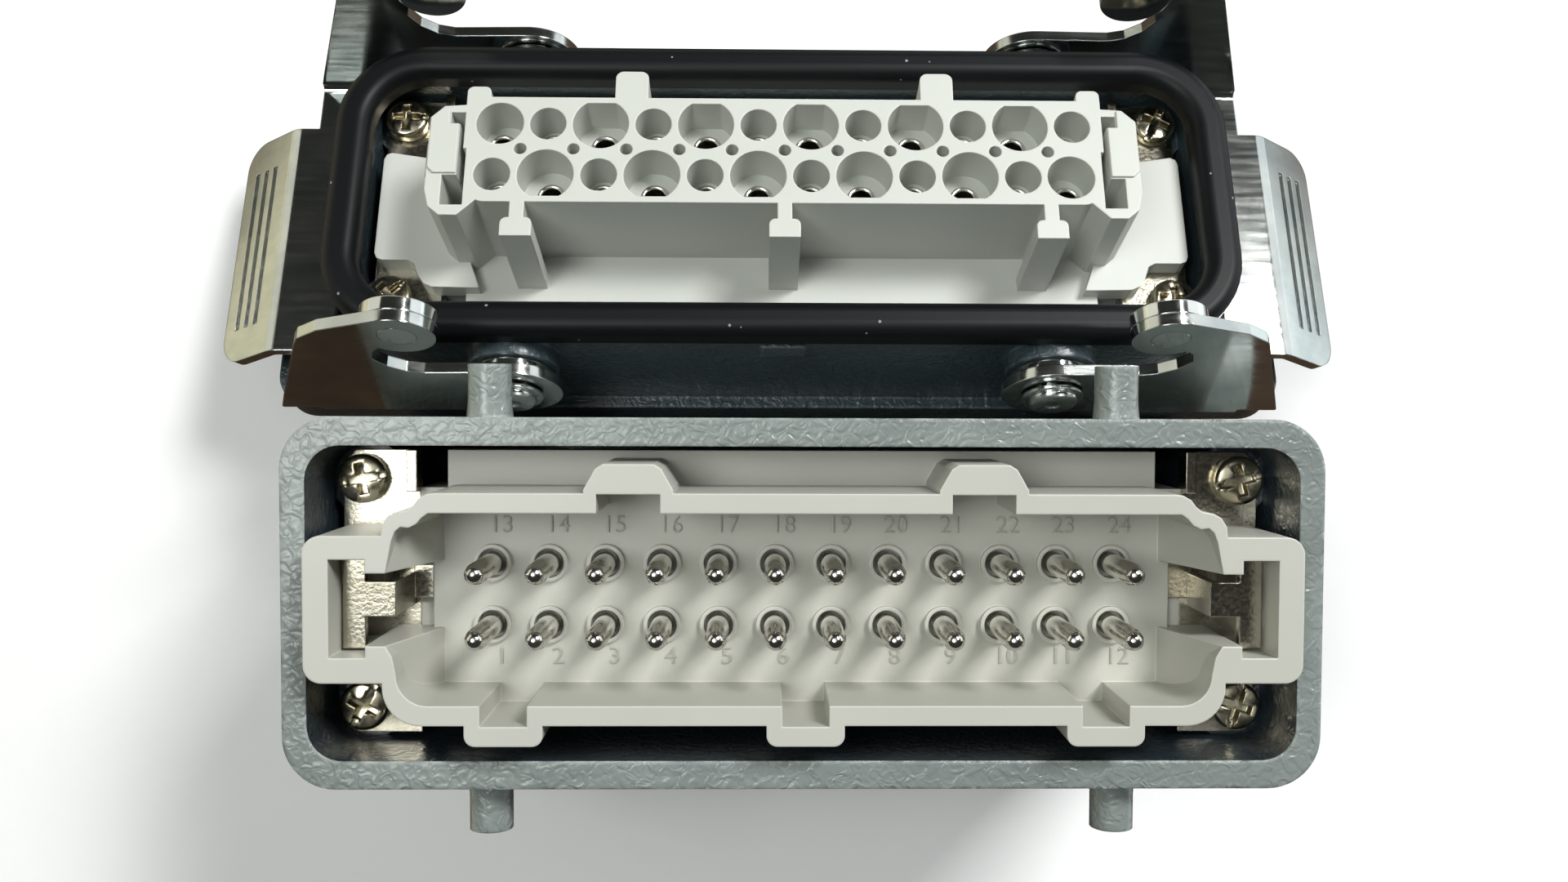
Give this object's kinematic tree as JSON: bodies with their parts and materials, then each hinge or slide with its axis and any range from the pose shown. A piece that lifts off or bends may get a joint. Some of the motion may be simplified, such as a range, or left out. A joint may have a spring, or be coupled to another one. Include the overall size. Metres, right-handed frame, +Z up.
{
  "type": "heavy duty rectangular connector",
  "caption": "Unmated heavy duty rectangular connector: cast hood with pin insert and bulkhead housing with socket insert, rim gasket and two locking levers.",
  "frame": {"origin": "middle of the hood's flat roof, on the floor; the hood stands on its roof with its mating side up", "axes": "+X along the contact rows towards the cable entry, +Y from the hood towards the leaning bulkhead housing, +Z up"},
  "size_m": [0.1582, 0.1073, 0.0667],
  "materials": {
    "cast_hood": "semi-gloss powder coat on a die casting",
    "cast_housing": "semi-gloss powder coat on a die casting",
    "pebble_plastic": "moulded glass-filled plastic, pebble grey",
    "silvered_contact": "silver-plated turned copper alloy",
    "nickel": "nickel-plated stamped steel",
    "screw_steel": "yellowed zinc-plated steel screws",
    "zinc_sheet": "bright zinc-plated steel sheet",
    "zinc_disc": "bright zinc-plated steel",
    "zinc_stud": "bright zinc-plated steel",
    "black_rubber": "smooth black nitrile rubber"
  },
  "bodies": {
    "base": {"hood_shell": "cast_hood", "male_insert": "pebble_plastic", "male_pins": "silvered_contact", "male_clamps": "nickel", "male_clamp_screws": "screw_steel", "male_left_plate": "nickel", "male_right_plate": "nickel", "male_left_earth_blade": "nickel", "male_right_earth_blade": "nickel", "male_mounting_screws": "screw_steel", "male_earth_screws": "screw_steel", "housing_shell": "cast_housing", "rim_gasket": "black_rubber", "panel_seal": "black_rubber", "female_insert": "pebble_plastic", "female_sockets": "silvered_contact", "female_clamps": "nickel", "female_clamp_screws": "screw_steel", "female_left_plate": "nickel", "female_right_plate": "nickel", "female_left_earth_blade": "nickel", "female_right_earth_blade": "nickel", "female_mounting_screws": "screw_steel", "female_earth_screws": "screw_steel", "pivot_studs": "zinc_stud", "inner_washers": "zinc_stud", "outer_washers": "zinc_stud"},
    "left_lever": {"left_lever": "zinc_sheet", "left_discs": "zinc_disc"},
    "right_lever": {"right_lever": "zinc_sheet", "right_discs": "zinc_disc"}
  },
  "joints": [
    {"name": "left_lever_hinge", "type": "hinge", "parent": "base", "child": "left_lever", "pos_m": [-0.0376, 0.0478, 0.02563], "axis": [0, 0.9285, -0.3714], "range_deg": [0, 29]},
    {"name": "right_lever_hinge", "type": "hinge", "parent": "base", "child": "right_lever", "pos_m": [0.0334, 0.0478, 0.02563], "axis": [0, -0.9285, 0.3714], "range_deg": [0, 29]}
  ]
}
